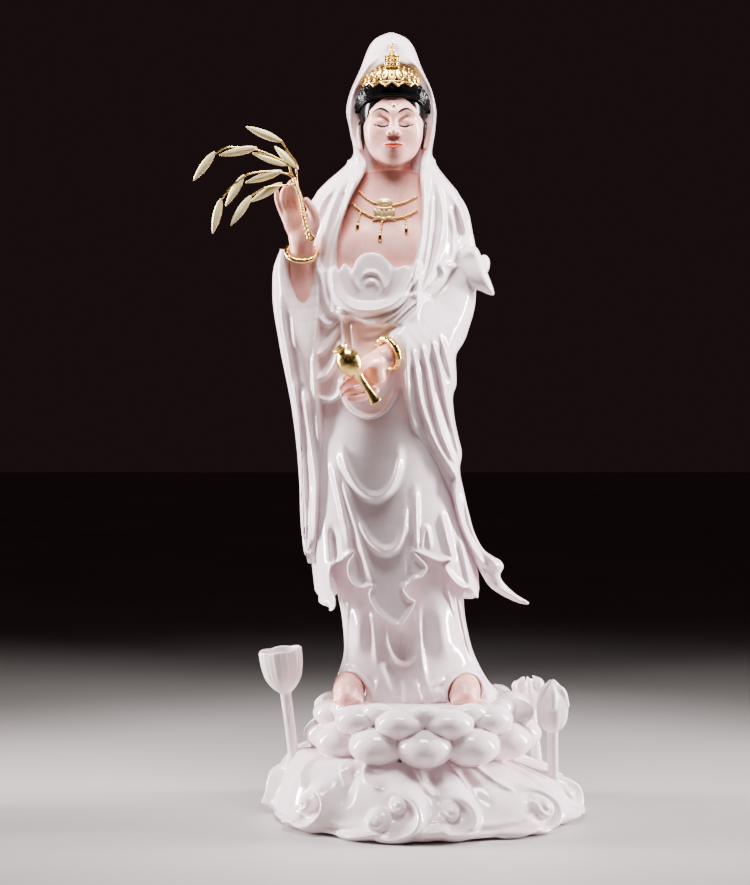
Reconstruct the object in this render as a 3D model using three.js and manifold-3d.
// A standing Guanyin in polished white marble resin: a veiled figure in long robes on a lotus and
// wave plinth, with a gilt crown, necklace, two bangles, a willow branch and a small pouring vase,
// and three lotus blooms on stems plugged into the plinth.
// Millimetres, +Z up, the figure faces -Y, the origin is the middle of the plinth's underside.
import * as THREE from "three";
import { mergeVertices } from "three/addons/utils/BufferGeometryUtils.js";
import Module from "manifold-3d";

const wasm = await Module();
wasm.setup();

// Driving sizes
const FIGURE_HEIGHT = 424; // soles to the crown of the veil
const PLINTH_WIDTH = 200; // over the waves, left to right
const PLINTH_DEPTH = 172; // over the waves, front to back
const WAVE_HEIGHT = 47; // table to the neck under the lotus
const THRONE_TOP = 76; // table to the surface the figure stands on
const THRONE_WIDTH = 154; // over the widest row of petals
const PETALS_PER_ROW = 12;
const JOINT_GAP = 0.3; // between two touching pieces
const HEM_ROOM = 1.2; // between the robe's hem and the petals round it
const STEM_RADIUS = 3.6;
const SOCKET_DEPTH = 12; // how deep a bloom's stem plugs into the waves
const SOCKET_CLEARANCE = 0.3;
const BANGLE_WIRE = 1.4; // radius of the gold wire
const BANGLE_BORE = 8; // radius of the hole the wrist passes through
const BANGLE_SIDES = 12;
const VASE_LENGTH = 41;
const VASE_BELLY = 7.9; // outer radius
const VASE_NECK = 2.7; // outer radius
const VASE_WALL = 0.9;
const CUP_WALL = 2.2; // wall of the open lotus
const WILLOW_WIRE = 0.9; // radius of the branch's wire
const LEAF_LENGTH = 20;
const LEAF_WIDTH = 4.6;
const LEAF_THICKNESS = 1;
const CHAIN_RADIUS = 0.7;

// The figure is carved in parts, a thousandth of its own height, measured from its soles.
const PART = FIGURE_HEIGHT / 1000;
const at = (x, y, z) => new THREE.Vector3(x * PART, y * PART, THRONE_TOP + JOINT_GAP + z * PART);
const inParts = (millimetres) => millimetres / PART;

const FRONT = new THREE.Vector3(0, -1, 0);
const UP = new THREE.Vector3(0, 0, 1);

const marble = { color: 0xf4eef2, roughness: 0.22, metalness: 0 };
const frostedResin = { color: 0xf1e9e8, roughness: 0.35, metalness: 0 };
const gilt = { color: 0xd9a83a, roughness: 0.22, metalness: 1 };

// Solids

// A three.js geometry as a manifold-3d solid.
function solid(geometry) {
  const bare = new THREE.BufferGeometry();
  bare.setAttribute("position", geometry.getAttribute("position"));
  bare.setIndex(geometry.getIndex());
  const merged = mergeVertices(bare, 1e-5);
  const corners = merged.getIndex().array;
  const kept = [];
  for (let i = 0; i < corners.length; i += 3) {
    const [a, b, c] = corners.slice(i, i + 3);
    if (a !== b && b !== c && c !== a) kept.push(a, b, c);
  }
  return new wasm.Manifold(
    new wasm.Mesh({
      numProp: 3,
      vertProperties: new Float32Array(merged.getAttribute("position").array),
      triVerts: new Uint32Array(kept),
    }),
  );
}

const join = (solids) => solids.reduce((whole, next) => whole.add(next));

// A named mesh of a finished solid.
function piece(name, shape, finish) {
  const { vertProperties, triVerts } = shape.getMesh();
  const geometry = new THREE.BufferGeometry();
  geometry.setAttribute("position", new THREE.BufferAttribute(vertProperties, 3));
  geometry.setIndex(new THREE.BufferAttribute(triVerts, 1));
  geometry.computeVertexNormals();
  const mesh = new THREE.Mesh(geometry, new THREE.MeshStandardMaterial(finish));
  mesh.name = name;
  return mesh;
}

// The closed skin over rings of points, which run anticlockwise seen from the last ring.
function loft(rings) {
  const sides = rings[0].length;
  const middle = (ring) => ring.reduce((sum, p) => sum.add(p), new THREE.Vector3()).divideScalar(sides);
  const points = [...rings.flat(), middle(rings[0]), middle(rings.at(-1))];
  const [first, last] = [points.length - 2, points.length - 1];
  const faces = [];
  for (let j = 0; j < sides; j++) {
    const next = (j + 1) % sides;
    faces.push(first, next, j);
    for (let i = 0; i + 1 < rings.length; i++) {
      const [low, high] = [i * sides, (i + 1) * sides];
      faces.push(low + j, low + next, high + next, low + j, high + next, high + j);
    }
    const top = (rings.length - 1) * sides;
    faces.push(last, top + j, top + next);
  }
  const geometry = new THREE.BufferGeometry().setFromPoints(points);
  geometry.setIndex(faces);
  return solid(geometry);
}

// A smooth function through rows [position, value, value, ...], ordered by position.
function through(rows) {
  return (position) => {
    const t = THREE.MathUtils.clamp(position, rows[0][0], rows.at(-1)[0]);
    const i = Math.max(1, rows.findIndex((row) => row[0] >= t));
    const [a, b] = [rows[i - 1], rows[i]];
    const [before, after] = [rows[i - 2] ?? a, rows[i + 1] ?? b];
    const s = (t - a[0]) / (b[0] - a[0]);
    return a.slice(1).map((start, k) => {
      const end = b[k + 1];
      const leaving = ((end - before[k + 1]) / (b[0] - before[0])) * (b[0] - a[0]);
      const arriving = ((after[k + 1] - start) / (after[0] - a[0])) * (b[0] - a[0]);
      return (
        (2 * s ** 3 - 3 * s ** 2 + 1) * start +
        (s ** 3 - 2 * s ** 2 + s) * leaving +
        (3 * s ** 2 - 2 * s ** 3) * end +
        (s ** 3 - s ** 2) * arriving
      );
    });
  };
}

// A closed tube along a smooth line. Its radii are spread evenly from the first point to the last.
function tube(points, radii, sides, steps) {
  const line = new THREE.CatmullRomCurve3(points);
  const frames = line.computeFrenetFrames(steps);
  const radiusAt = through(radii.map((r, i) => [i / (radii.length - 1), r]));
  const rings = frames.tangents.map((_, i) => {
    const centre = line.getPointAt(i / steps);
    const [radius] = radiusAt(i / steps);
    return Array.from({ length: sides }, (_, j) => {
      const turn = (2 * Math.PI * j) / sides;
      return centre
        .clone()
        .addScaledVector(frames.normals[i], radius * Math.cos(turn))
        .addScaledVector(frames.binormals[i], radius * Math.sin(turn));
    });
  });
  return loft(rings);
}

// An ellipsoid whose local X, Y and Z radii are turned by the angles given in degrees.
function egg(centre, radii, turn = [0, 0, 0], sides = 10, rows = 6) {
  const [x, y, z] = turn.map(THREE.MathUtils.degToRad);
  const place = new THREE.Matrix4().compose(
    centre,
    new THREE.Quaternion().setFromEuler(new THREE.Euler(x, y, z)),
    new THREE.Vector3(...radii),
  );
  const upright = new THREE.SphereGeometry(1, sides, rows).rotateX(Math.PI / 2);
  return solid(upright.applyMatrix4(place));
}

// A lathed solid about the line from a foot along a direction. Its profile rows are [radius, height].
function turned(profile, foot, direction, sides) {
  const outline = profile.map(([r, h]) => new THREE.Vector2(r, h));
  const toDirection = new THREE.Quaternion().setFromUnitVectors(
    new THREE.Vector3(0, 1, 0),
    direction.clone().normalize(),
  );
  const geometry = new THREE.LatheGeometry(outline, sides);
  return solid(geometry.applyQuaternion(toDirection).translate(foot.x, foot.y, foot.z));
}

// Robes

// Rows [height, centre x, centre y, half width, half depth], in parts.
const BODY = through([
  [0, -12, 5, 126, 86],
  [22, -17, 5, 112, 79],
  [60, -22, 4, 97, 70],
  [110, -28, 3, 92, 66],
  [200, -40, 2, 98, 70],
  [330, -58, 0, 102, 74],
  [450, -66, -2, 98, 72],
  [560, -62, -2, 98, 70],
  [660, -56, 0, 104, 66],
  [730, -54, 4, 106, 58],
  [765, -52, 6, 88, 52],
  [790, -49, 8, 58, 46],
]);
const APRON = through([
  [100, -36, 0, 120, 90],
  [200, -43, 0, 118, 88],
  [300, -55, -2, 112, 84],
  [420, -64, -3, 104, 79],
  [460, -66, -3, 96, 74],
]);
const VEIL = through([
  [770, -53, 8, 96, 60],
  [795, -48, 10, 67, 58],
  [815, -46, 10, 58, 59],
  [850, -46, 11, 63, 63],
  [885, -48, 11, 67, 65],
  [921, -48, 11, 57, 59],
  [957, -48, 9, 43, 47],
  [985, -48, 8, 27, 31],
  [998, -48, 8, 10, 12],
]);
const CAPE = through([
  [600, -50, 34, 118, 52],
  [640, -50, 30, 132, 56],
  [700, -53, 22, 128, 56],
  [745, -54, 14, 116, 60],
  [775, -54, 10, 92, 60],
  [800, -49, 10, 62, 58],
]);
// Height of the apron's hem, in parts, by the angle round the figure in degrees from its front.
const HEM = through([
  [-180, 150], [-120, 142], [-85, 150], [-58, 128], [-31, 212], [-18, 160],
  [0, 108], [8, 150], [14, 212], [42, 202], [58, 160], [80, 136], [120, 146], [180, 150],
]);

// A point on an oval section, at an angle from the front, towards +X, in radians.
function onSection(section, height, turn, proud = 0) {
  const [x, y, width, depth] = section(height);
  return at(x + (width + proud) * Math.sin(turn), y - (depth + proud) * Math.cos(turn), height);
}

// The front face of a section at a place across it, in parts.
function frontOf(section, x, height) {
  const [centre, y, width, depth] = section(height);
  const across = Math.min(0.97, Math.abs(x - centre) / width);
  return y - depth * Math.sqrt(1 - across ** 2);
}

// Cloth round an oval section: a loft with pleats, each one crest and one valley wide.
function pleated(section, heights, pleats, pleatDepth) {
  return loft(
    heights.map((height) =>
      Array.from({ length: 2 * pleats }, (_, j) => {
        const turn = (Math.PI * j) / pleats;
        return onSection(section, height, turn, j % 2 ? -pleatDepth(turn) : 0);
      }),
    ),
  );
}

const levels = (from, to, count) =>
  Array.from({ length: count }, (_, i) => from + ((to - from) * i) / (count - 1));

const backness = (turn) => (1 - Math.cos(turn)) / 2;

// The underskirt, the apron over it and the body above, in one skin of pleats. Rings under the
// apron's hem and on the apron are shares of the way to the hem and from there to the waist.
function robes() {
  const pleats = 16;
  const waist = 455;
  const ring = (section, heightAt, valleyAt) =>
    Array.from({ length: 2 * pleats }, (_, j) => {
      const turn = (Math.PI * j) / pleats;
      const [hem] = HEM(THREE.MathUtils.radToDeg(Math.atan2(Math.sin(turn), Math.cos(turn))));
      return onSection(section, heightAt(hem), turn, j % 2 ? -valleyAt(turn) : 0);
    });
  const sidePleats = (turn) => 3 + 9 * Math.abs(Math.sin(turn));
  const backPleats = (turn) => 2 + 5 * backness(turn);
  const underskirt = [0, 0.2, 0.5, 0.85].map((share) => ring(BODY, (hem) => share * hem, () => 7));
  const apron = [0, 0.2, 0.5, 0.8].map((share) =>
    ring(APRON, (hem) => hem + (waist - hem) * share, (turn) => (1 - share) ** 1.5 * sidePleats(turn)),
  );
  const body = [470, 530, 600, 670, 730, 765, 790].map((height) => ring(BODY, () => height, backPleats));
  return loft([...underskirt, ring(BODY, (hem) => hem + 8, () => 4), ...apron, ...body]);
}

// A rounded roll of cloth over the front of a section, through points [x, height].
function roll(section, points, radius, steps = 7, sides = 5) {
  const line = points.map(([x, z]) => at(x, frontOf(section, x, z) - 0.15 * radius, z));
  return tube(line, [0.3, 1, 1, 1, 0.3].map((share) => share * radius * PART), sides, steps);
}

function apronFolds() {
  const swags = [
    [[-122, 378], [-110, 333], [-79, 308], [-50, 324], [-38, 385]],
    [[-94, 270], [-82, 242], [-58, 228], [-40, 244], [-32, 290]],
  ];
  const falls = [
    [[-135, 347], [-122, 281], [-107, 222]],
    [[-121, 332], [-104, 259], [-83, 168]],
    [[-15, 360], [-14, 290], [-13, 222]],
    [[28, 320], [42, 262], [52, 205]],
  ];
  return [
    ...swags.map((line) => roll(APRON, line, 6.5, 6)),
    ...falls.map((line) => roll(APRON, line, 5, 3, 4)),
  ];
}

function bodiceAndScarf() {
  const scarf = [
    [-121, 742], [-130, 690], [-132, 640], [-122, 598], [-100, 571], [-66, 562],
    [-34, 572], [-8, 612], [5, 668], [12, 742],
  ];
  const outerScarf = [[-112, 560], [-88, 541], [-60, 538], [-30, 552], [4, 592], [22, 660], [26, 735]];
  const bowTail = [[-106, 566], [-112, 540], [-108, 512], [-100, 484]];
  const upperHem = [[-119, 470], [-106, 436], [-80, 424], [-54, 434], [-38, 474]];
  const sideLoop = [[-156, 532], [-148, 496], [-132, 488], [-115, 525]];
  const bodicePetals = [[-74, 622, 30, 38], [-26, 602, 22, 28]];
  return [
    roll(BODY, scarf, 10, 11),
    roll(BODY, outerScarf, 8, 7),
    roll(BODY, bowTail, 10, 3),
    roll(BODY, upperHem, 8, 5),
    roll(BODY, sideLoop, 7, 5),
    ...bodicePetals.map(([x, z, width, height]) =>
      egg(at(x, frontOf(BODY, x, z) + 3, z), [width * PART, 9 * PART, height * PART], [0, 0, 0], 7, 4),
    ),
  ];
}

// The sleeve that falls from the raised right wrist to a point beside the hem.
const RIGHT_SLEEVE = through([
  [205, -170, 2, 7, 14],
  [240, -163, 2, 18, 34],
  [330, -158, 0, 27, 44],
  [430, -163, -4, 31, 48],
  [530, -178, -10, 37, 50],
  [610, -188, -18, 37, 46],
  [650, -187, -24, 33, 38],
  [664, -186, -26, 24, 28],
]);
// The sleeve that falls from the left forearm and flies out in a tail.
const LEFT_SLEEVE = through([
  [139, 150, 4, 3, 3],
  [158, 132, 2, 10, 11],
  [183, 108, -2, 19, 24],
  [215, 92, -8, 25, 34],
  [260, 65, -14, 22, 42],
  [320, 40, -24, 26, 46],
  [380, 21, -32, 34, 48],
  [440, 10, -40, 42, 50],
  [500, 6, -44, 44, 48],
  [535, 8, -40, 38, 38],
]);

// The wrists fill their bangles but for a gap.
const WRIST = inParts(BANGLE_BORE * Math.cos(Math.PI / BANGLE_SIDES) - JOINT_GAP);

function arms() {
  const flute = (turn) => 4 + 3 * Math.abs(Math.cos(turn));
  const rightHeights = [205, 240, 330, 430, 530, 610, 664];
  const leftHeights = [139, 183, 215, 260, 320, 400, 480, 535];
  const limb = (points, radii, steps) =>
    tube(points.map((p) => at(...p)), radii.map((r) => r * PART), 7, steps);
  return [
    pleated(RIGHT_SLEEVE, rightHeights, 6, flute),
    pleated(LEFT_SLEEVE, leftHeights, 7, flute),
    limb([[-126, 10, 742], [-150, 22, 660], [-180, 8, 575]], [28, 30, 34], 3),
    limb([[-184, 4, 575], [-187, -18, 625], [-187, -34, 690]], [25, WRIST, WRIST], 2),
    limb([[22, 6, 748], [36, 6, 640], [26, -4, 545]], [32, 37, 40], 3),
    limb([[30, 4, 548], [2, -46, 532], [-38, -88, 522]], [34, 30, 20], 3),
    limb([[2, -46, 532], [-44, -93, 520], [-74, -112, 505]], [WRIST, WRIST - 1, WRIST - 3], 2),
  ];
}

// Hands: a palm and five fingers, each through points from its knuckle to its tip, in parts.
function hand(palm, fingers) {
  return [
    egg(at(...palm.centre), palm.radii.map((r) => r * PART), palm.turn, 6, 4),
    ...fingers.map((finger) =>
      tube(finger.map((p) => at(...p)), [5.4, 5.4, 3.4].map((r) => r * PART), 4, 2),
    ),
  ];
}

function rightHand() {
  const y = -40;
  return hand({ centre: [-186, -36, 712], radii: [20, 11, 32], turn: [8, -4, 0] }, [
    [[-197, y, 728], [-207, y - 2, 750], [-211, y - 4, 768]],
    [[-190, y - 2, 734], [-196, y - 8, 758], [-199, y - 16, 772]],
    [[-184, y - 4, 736], [-187, y - 12, 762], [-192, y - 16, 783]],
    [[-177, y - 4, 734], [-180, y - 14, 756], [-183, y - 22, 771]],
    [[-176, y + 2, 700], [-165, y - 10, 724], [-168, y - 18, 746]],
  ]);
}

function leftHand() {
  return hand({ centre: [-80, -112, 495], radii: [22, 14, 21], turn: [0, 30, 20] }, [
    [[-80, -120, 508], [-94, -132, 502], [-104, -138, 494]],
    [[-92, -116, 492], [-106, -124, 486], [-114, -134, 492]],
    [[-92, -112, 484], [-108, -120, 474], [-119, -130, 478]],
    [[-86, -108, 476], [-100, -120, 462], [-114, -128, 464]],
    [[-80, -108, 478], [-92, -116, 466], [-104, -122, 466]],
  ]);
}

// Feet, swollen all over by a clearance and stretched upwards.
function feet(clearance = 0, stretch = 1) {
  const radii = [24, 34, 20 * stretch].map((r) => r * PART + clearance);
  return [-112, 66].map((x) => egg(at(x, -62, 6), radii, [0, 0, x < 0 ? -14 : 14], 8, 5));
}

const HEAD = { centre: [-45, -10, 862], radii: [46, 52, 64] };

// The veil over the hair.
function veil() {
  return pleated(VEIL, [770, 800, 850, 885, 921, 957, 985, 998], 9, () => 0);
}

// Head: the veil, hollowed round the face, with the face, hair and neck inside it.
function head() {
  const scaled = (sizes) => sizes.map((size) => size * PART);
  const faceOpening = egg(at(-46, -62, 836), scaled([51, 52, 84]), [0, 0, 0], 10, 7);
  const [hx, hy, hz] = HEAD.centre;
  const skull = egg(at(hx, hy, hz), scaled(HEAD.radii), [0, 0, 0], 11, 7);
  const chin = egg(at(hx, hy - 24, hz - 40), scaled([25, 22, 20]), [0, 0, 0], 7, 4);
  const nose = tube([at(hx, -57, 872), at(hx, -65, 850), at(hx, -58, 842)], scaled([2.5, 5, 3]), 5, 4);
  const neck = tube([at(-50, 6, 735), at(-47, 2, 780), at(-45, 0, 815)], scaled([34, 29, 27]), 8, 2);
  const hairline = levels(-100, 100, 9).map((degrees) => {
    const turn = THREE.MathUtils.degToRad(degrees);
    const drop = 40 * (1 - Math.cos(turn)) ** 1.4;
    return at(hx + 48 * Math.sin(turn), hy - 44 * Math.cos(turn) - 2, hz + 32 - drop);
  });
  const hair = tube(hairline, scaled([6, 11, 13, 11, 6]), 5, 8);
  return [veil().subtract(faceOpening), skull, chin, nose, neck, hair];
}

// The veil over the shoulders, with a pointed flap over the left arm.
function cape() {
  const flap = [at(20, 2, 770), at(46, 0, 700), at(72, 0, 640), at(98, 0, 616)];
  return [
    pleated(CAPE, [600, 640, 700, 750, 790], 10, (turn) => 5 * backness(turn)),
    tube(flap, [22, 30, 22, 4].map((r) => r * PART), 6, 4),
    egg(at(80, 24, 648), [12 * PART, 12 * PART, 16 * PART], [0, 0, 0], 7, 4),
  ];
}

// Vase, bangles and branch

const vaseFoot = at(-119, -136, 521);
const vaseMouthward = at(-66, -142, 446).sub(vaseFoot);

// The vase's outside, swollen all over by a clearance, as rows [radius, distance from the foot].
function vaseProfile(clearance = 0) {
  const bellyAt = 0.3 * VASE_LENGTH;
  return [
    [0, -clearance],
    [0.5 * VASE_BELLY + clearance, -clearance],
    [0.56 * VASE_BELLY + clearance, 0.05 * VASE_LENGTH],
    [0.84 * VASE_BELLY + clearance, 0.14 * VASE_LENGTH],
    [VASE_BELLY + clearance, bellyAt],
    [0.84 * VASE_BELLY + clearance, 0.44 * VASE_LENGTH],
    [VASE_NECK + clearance, 0.6 * VASE_LENGTH],
    [VASE_NECK - 0.2 + clearance, 0.76 * VASE_LENGTH],
    [VASE_NECK + 0.6 + clearance, 0.94 * VASE_LENGTH],
    [VASE_NECK + 1.3 + clearance, VASE_LENGTH + clearance],
    [0, VASE_LENGTH + clearance],
  ];
}

function vase() {
  const outside = vaseProfile();
  const inside = outside
    .slice(3, -1)
    .reverse()
    .map(([r, h]) => [r - VASE_WALL, h]);
  const floor = [0, outside[3][1]];
  return turned([...outside.slice(0, -1), ...inside, floor], vaseFoot, vaseMouthward, 9);
}

const vaseRoom = () => turned(vaseProfile(JOINT_GAP + 0.1), vaseFoot, vaseMouthward, 9);

// A gold ring round a wrist, square to the arm's direction.
function bangle(centre, along) {
  const ring = new THREE.TorusGeometry(BANGLE_BORE + BANGLE_WIRE, BANGLE_WIRE, 4, BANGLE_SIDES);
  const turn = new THREE.Quaternion().setFromUnitVectors(UP, along.clone().normalize());
  return solid(ring.applyQuaternion(turn).translate(centre.x, centre.y, centre.z));
}

const rightBangle = () => bangle(at(-187, -31, 679), new THREE.Vector3(0.06, -0.28, 1));
const leftBangle = () => bangle(at(-47, -95, 519), new THREE.Vector3(-20, -15, -8));

// Twigs of the branch through points [x, height], in parts, each with the leaves it bears.
// A leaf is [base x, base height, tip x, tip height].
const BRANCH_DEPTH = -64;
const TWIGS = [
  {
    line: [[-168, 690], [-176, 722], [-184, 762], [-190, 800], [-208, 842]],
    leaves: [[-186, 800, -222, 832], [-208, 842, -262, 864]],
  },
  {
    line: [[-184, 762], [-198, 792], [-228, 818], [-264, 828], [-304, 820]],
    leaves: [[-202, 804, -254, 824], [-248, 828, -302, 816], [-304, 820, -338, 778]],
  },
  {
    line: [[-184, 762], [-204, 790], [-236, 798], [-268, 788], [-298, 752]],
    leaves: [[-208, 794, -262, 778], [-266, 788, -294, 744], [-298, 752, -308, 700]],
  },
  {
    line: [[-184, 762], [-206, 774], [-232, 772], [-256, 760]],
    leaves: [[-206, 778, -254, 748], [-254, 762, -286, 714]],
  },
];

function willowLeaf([baseX, baseZ, tipX, tipZ], depth) {
  const base = at(baseX, depth, baseZ);
  const along = at(tipX, depth, tipZ).sub(base).normalize();
  const middle = base.clone().addScaledVector(along, LEAF_LENGTH / 2 - 0.6);
  const across = along.clone().cross(FRONT).normalize();
  const turn = new THREE.Matrix4().makeBasis(across, along, across.clone().cross(along));
  const blade = new THREE.SphereGeometry(1, 4, 3);
  blade.scale(LEAF_WIDTH / 2, LEAF_LENGTH / 2, LEAF_THICKNESS / 2);
  return solid(blade.applyMatrix4(turn).translate(middle.x, middle.y, middle.z));
}

const twigDepth = (i, share) => BRANCH_DEPTH - 5 * i * share;

function twig(i, clearance = 0) {
  const { line } = TWIGS[i];
  const wire = line.map(([x, z], k) => at(x, twigDepth(i, k / (line.length - 1)), z));
  const radii = i ? [1, 0.9, 0.8] : [1.5, 1.3, 1, 0.8];
  return tube(wire, radii.map((r) => r * WILLOW_WIRE + clearance), 4, 5);
}

function willowBranch() {
  return join(
    TWIGS.flatMap(({ leaves }, i) => [
      twig(i),
      ...leaves.map((leaf, k) => willowLeaf(leaf, twigDepth(i, (k + 1) / leaves.length))),
    ]),
  );
}

// The groove across the fingers that the branch lies in.
const branchRoom = () => twig(0, 2 * JOINT_GAP);

// Crown and necklace

// A band of leaves across the brow from one temple to the other, with a tiered spire in the middle.
function crown() {
  const foot = 916; // height in parts
  const [clear, thick, leafHeight, leaves] = [inParts(JOINT_GAP) + 2, 5, 24, 7];
  const onVeil = (turn, height, proud) => onSection(VEIL, height, turn, proud + clear);
  const band = levels(0.95, -0.95, 2 * leaves + 1).map((turn, i) => {
    const drop = 8 * Math.abs(turn);
    const top = foot + 9 + (0.4 + 0.6 * (i % 2)) * leafHeight * Math.cos(1.2 * turn) - drop;
    return [
      onVeil(turn, foot - drop, 0),
      onVeil(turn, foot - drop, thick),
      onVeil(turn, foot - drop, thick).setZ(at(0, 0, top).z),
      onVeil(turn, foot - drop, 0).setZ(at(0, 0, top).z),
    ];
  });
  const tiers = [[0, 2], [11, 2], [12, 22], [8, 26], [9, 34], [6, 37], [6, 44], [3, 48], [0, 66]];
  const spire = turned(
    tiers.map(([r, h]) => [r * PART, h * PART]),
    onVeil(0, foot, 9),
    new THREE.Vector3(0, 0.12, 1),
    7,
  );
  return loft(band).add(spire);
}

// Two chains and a lotus medallion on the chest, with three pendants.
function necklace() {
  const proud = inParts(CHAIN_RADIUS + JOINT_GAP) + 2;
  const chest = (x, z) => Math.min(frontOf(BODY, x, z), frontOf(CAPE, x, z));
  const onChest = ([x, z]) => at(x, chest(x, z) - proud, z);
  const chain = (points, steps, thickening = [1, 1]) =>
    tube(points.map(onChest), thickening.map((t) => t * CHAIN_RADIUS), 4, steps);
  const pendant = (x, from, to) => chain([[x, from], [x, to]], 3, [0.8, 0.8, 2.2, 0.6]);
  const medallion = onChest([-58, 728]);
  return join([
    chain([[-96, 756], [-78, 742], [-57, 737], [-34, 740], [-12, 750]], 6),
    chain([[-107, 738], [-86, 722], [-60, 715], [-34, 718], [-10, 728]], 6),
    egg(medallion, [12 * PART, 3.4 * PART, 14 * PART], [0, 0, 0], 7, 4),
    pendant(-61, 722, 688),
    pendant(-96, 732, 704),
    pendant(-26, 721, 697),
  ]);
}

// Plinth

// The waves' outline, higher on the left, as rows [height, centre x, half width, half depth], all but
// the height in shares of the plinth's half width and half depth.
const BANK = through([
  [0, 0, 0.92, 0.93],
  [0.14 * WAVE_HEIGHT, 0, 1, 1],
  [0.4 * WAVE_HEIGHT, -0.03, 0.97, 0.97],
  [0.66 * WAVE_HEIGHT, -0.15, 0.8, 0.84],
  [0.87 * WAVE_HEIGHT, -0.14, 0.72, 0.72],
  [WAVE_HEIGHT, -0.07, 0.6, 0.64],
]);

function onBank(turn, height, proud = 0) {
  const [centre, width, depth] = BANK(height);
  return new THREE.Vector3(
    (PLINTH_WIDTH / 2) * (centre + width * Math.sin(turn)) + proud * Math.sin(turn),
    -((PLINTH_DEPTH / 2) * depth + proud) * Math.cos(turn),
    height,
  );
}

function waveBank() {
  const [swells, swellDepth, sides] = [9, 7, 36];
  const rings = [0, 0.14, 0.4, 0.66, 0.87, 1].map((share) =>
    Array.from({ length: sides }, (_, j) => {
      const turn = (2 * Math.PI * j) / sides;
      const swell = (swellDepth / 2) * (1 - Math.cos(swells * turn + 0.8)) * (1 - share ** 2);
      return onBank(turn, share * WAVE_HEIGHT, -swell);
    }),
  );
  return loft(rings);
}

// A breaking wave: a ridge that comes down the bank, goes over and rolls up into a scroll, towards
// +X when its way is 1.
function scroll({ turn, height, size, way }) {
  const across = onBank(turn + 0.01, height).sub(onBank(turn, height)).normalize();
  const outward = across.clone().cross(UP);
  const centre = onBank(turn, height, 0.1 * size);
  const leadIn = [0.62, 0.36].map((back) => onBank(turn - way * back, height + size * (0.9 + back), 1));
  const curl = levels(0, 1, 8).map((share) => {
    const angle = 2.3 - 2 * Math.PI * 1.2 * share;
    const reach = size * (1 - 0.64 * share);
    return centre
      .clone()
      .addScaledVector(across, way * reach * Math.cos(angle))
      .addScaledVector(UP, reach * Math.sin(angle))
      .addScaledVector(outward, 0.42 * size * share);
  });
  const radii = [0.15, 0.3, 0.34, 0.34, 0.32, 0.3, 0.26].map((r) => r * size);
  return tube([...leadIn, ...curl], radii, 5, 10);
}

// Rows [turn round the plinth, height, size, way], height and size as shares of the waves' height.
function scrolls() {
  const rows = [
    [-0.78, 0.4, 0.255, -1],
    [-0.3, 0.32, 0.245, -1],
    [0.19, 0.36, 0.275, 1],
    [0.84, 0.425, 0.255, 1],
    [2.2, 0.38, 0.21, -1],
    [4, 0.38, 0.21, 1],
  ];
  return rows.map(([turn, height, size, way]) =>
    scroll({ turn, height: height * WAVE_HEIGHT, size: size * WAVE_HEIGHT, way }),
  );
}

// A throne of three rows of plump petals. Every other row is shifted by half a petal. Each ring is
// a row's belly, edge or groove, on a petal's midrib and in the groove beside it: a share of the
// height from the throne's neck to its top, and a share of its half width, or for the top row the
// distance that it stands off the robe's hem.
function throne() {
  const rim = THRONE_WIDTH / 2;
  const neck = WAVE_HEIGHT - 5;
  const [, , hem] = BODY(0);
  const offHem = (distance) => (hem * PART + HEM_ROOM + distance) / rim;
  const rings = [
    { shift: 0, rib: [0, 0.6], groove: [0, 0.6] },
    { shift: 0, rib: [0.18, 0.9], groove: [0.24, 0.76] },
    { shift: 0, rib: [0.41, 1], groove: [0.44, 0.84] },
    { shift: 0, rib: [0.62, 0.95], groove: [0.53, 0.84] },
    { shift: 1, rib: [0.56, 0.86], groove: [0.71, 0.86] },
    { shift: 1, rib: [0.79, 0.93], groove: [0.82, 0.8] },
    { shift: 1, rib: [0.97, 0.88], groove: [0.88, 0.79] },
    { shift: 0, rib: [0.88, 0.8], groove: [1.03, 0.8] },
    { shift: 0, rib: [1.09, offHem(13)], groove: [1.09, offHem(4.7)] },
    { shift: 0, rib: [1.26, offHem(9.3)], groove: [1.12, offHem(3.1)] },
    { shift: 0, rib: [1, offHem(3.1)], groove: [1, offHem(0.8)] },
  ];
  const sides = 4 * PETALS_PER_ROW;
  return loft(
    rings.map(({ shift, rib, groove }) =>
      Array.from({ length: sides }, (_, j) => {
        const turn = (2 * Math.PI * j) / sides;
        const across = 2 * Math.abs(((j / 4 + shift / 2 + 0.5) % 1) - 0.5);
        const swell = Math.sqrt(1 - across ** 2);
        const [share, reach] = groove.map((low, k) => low + (rib[k] - low) * swell);
        const height = neck + share * (THRONE_TOP - neck);
        return new THREE.Vector3(rim * reach * Math.sin(turn), -rim * reach * Math.cos(turn), height);
      }),
    ),
  );
}

// Lotus blooms on stems

// Each bloom's turn round the plinth, how far its stem's foot stands in from the edge of the waves
// and its neck out from the petals, the heights of both, and the height and girth of its head.
const BLOOMS = {
  open: { turn: -1.513, inset: 17, outset: 11.2, foot: 38, neck: THRONE_TOP + 3, head: 28, girth: 13.2 },
  bud: { turn: 1.344, inset: 15, outset: 7.4, foot: 24, neck: THRONE_TOP - 19, head: 33, girth: 10.2 },
  rear: { turn: 2.12, inset: 10, outset: 8.2, foot: 24, neck: THRONE_TOP - 16, head: 22, girth: 9 },
};

// The ray of a bloom's stem, from the bottom of its socket.
function stemLine({ turn, inset, outset, foot, neck }) {
  const reach = THRONE_WIDTH / 2 + outset;
  const low = new THREE.Vector3(
    (PLINTH_WIDTH / 2 - inset) * Math.sin(turn),
    -(PLINTH_DEPTH / 2 - inset) * Math.cos(turn),
    foot,
  );
  const high = new THREE.Vector3(reach * Math.sin(turn), -reach * Math.cos(turn), neck);
  const along = high.clone().sub(low).normalize();
  return { low: low.addScaledVector(along, -SOCKET_DEPTH), high, along };
}

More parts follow.
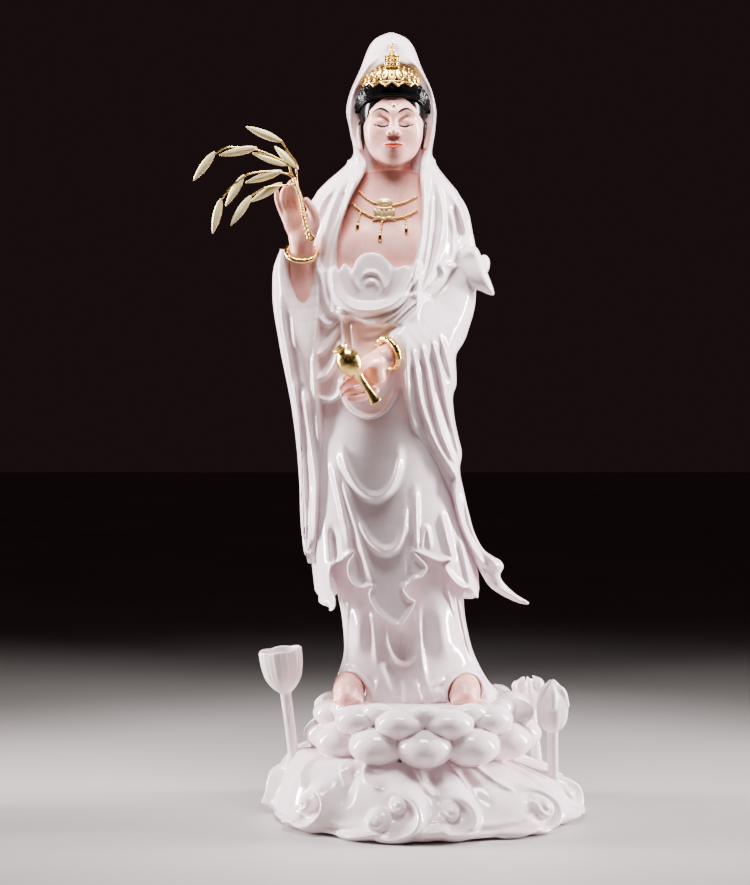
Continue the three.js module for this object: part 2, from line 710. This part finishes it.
const socket = (bloom) => {
  const { low, high } = stemLine(bloom);
  const radius = STEM_RADIUS + SOCKET_CLEARANCE;
  const blindEnd = low.clone().addScaledVector(UP, -SOCKET_CLEARANCE);
  return tube([blindEnd, high], [radius, radius], 8, 1);
};

function stem(bloom) {
  const { low, high, along } = stemLine(bloom);
  return tube([low, high.clone().addScaledVector(along, 3)], [STEM_RADIUS, STEM_RADIUS], 8, 1);
}

// A cup of eight shallow petals, open at the top.
function openLotus() {
  const { head, girth } = BLOOMS.open;
  const { high, along } = stemLine(BLOOMS.open);
  const wall = [
    [0.64 * girth, 0.18 * head],
    [0.94 * girth, 0.5 * head],
    [girth, 0.78 * head],
    [0.95 * girth, head],
  ];
  const outside = [[0, -3], [STEM_RADIUS + 1, -2], ...wall];
  const inside = wall.slice(1).reverse().map(([r, h]) => [r - CUP_WALL, h]);
  const floor = [[0.42 * girth, 0.32 * head], [0, 0.29 * head]];
  return stem(BLOOMS.open).add(turned([...outside, ...inside, ...floor], high, along, 12));
}

function closedLotus(bloom) {
  const { head, girth } = bloom;
  const { high, along } = stemLine(bloom);
  const shares = [[0.8, 0.16], [1, 0.36], [0.86, 0.62], [0.4, 0.9], [0, 1]];
  const profile = [[0, -3], [STEM_RADIUS + 1, -2], ...shares.map(([r, h]) => [r * girth, h * head])];
  return stem(bloom).add(turned(profile, high, along, 8));
}

// Assembly

// The block of air under the soles, which leaves them flat.
function belowSoles() {
  const depth = 40 * PART;
  const block = new THREE.BoxGeometry(FIGURE_HEIGHT, FIGURE_HEIGHT, depth);
  return solid(block.translate(0, 0, THRONE_TOP + JOINT_GAP - depth / 2));
}

function figure() {
  const carved = join([
    robes(),
    ...apronFolds(),
    ...bodiceAndScarf(),
    ...arms(),
    ...rightHand(),
    ...leftHand(),
    ...feet(),
    ...cape(),
    ...head(),
  ]);
  return carved.subtract(join([vaseRoom(), branchRoom(), belowSoles()]));
}

// Room between the upper petals for the robe's hem and the feet.
function seat() {
  const sides = 18;
  const ring = (height) =>
    Array.from({ length: sides }, (_, j) => {
      const point = onSection(BODY, 0, (2 * Math.PI * j) / sides, inParts(HEM_ROOM));
      return point.setZ(THRONE_TOP + height);
    });
  const block = new THREE.BoxGeometry(FIGURE_HEIGHT, FIGURE_HEIGHT, FIGURE_HEIGHT);
  const aboveTop = solid(block.translate(0, 0, THRONE_TOP + FIGURE_HEIGHT / 2));
  const room = join([loft([ring(-1), ring(20)]), ...feet(2 * JOINT_GAP, 3)]);
  return room.intersect(aboveTop);
}

function plinth() {
  const sockets = Object.values(BLOOMS).map(socket);
  return join([waveBank(), ...scrolls(), throne()]).subtract(join(sockets)).subtract(seat());
}

const guanyin = new THREE.Group();
guanyin.add(
  piece("figure", figure(), marble),
  piece("lotus_and_wave_plinth", plinth(), marble),
  piece("open_lotus", openLotus(), frostedResin),
  piece("lotus_bud", closedLotus(BLOOMS.bud), frostedResin),
  piece("rear_lotus_bud", closedLotus(BLOOMS.rear), frostedResin),
  piece("crown", crown(), gilt),
  piece("necklace", necklace(), gilt),
  piece("right_bangle", rightBangle(), gilt),
  piece("left_bangle", leftBangle(), gilt),
  piece("willow_branch", willowBranch(), gilt),
  piece("vase", vase(), gilt),
);

export default guanyin;
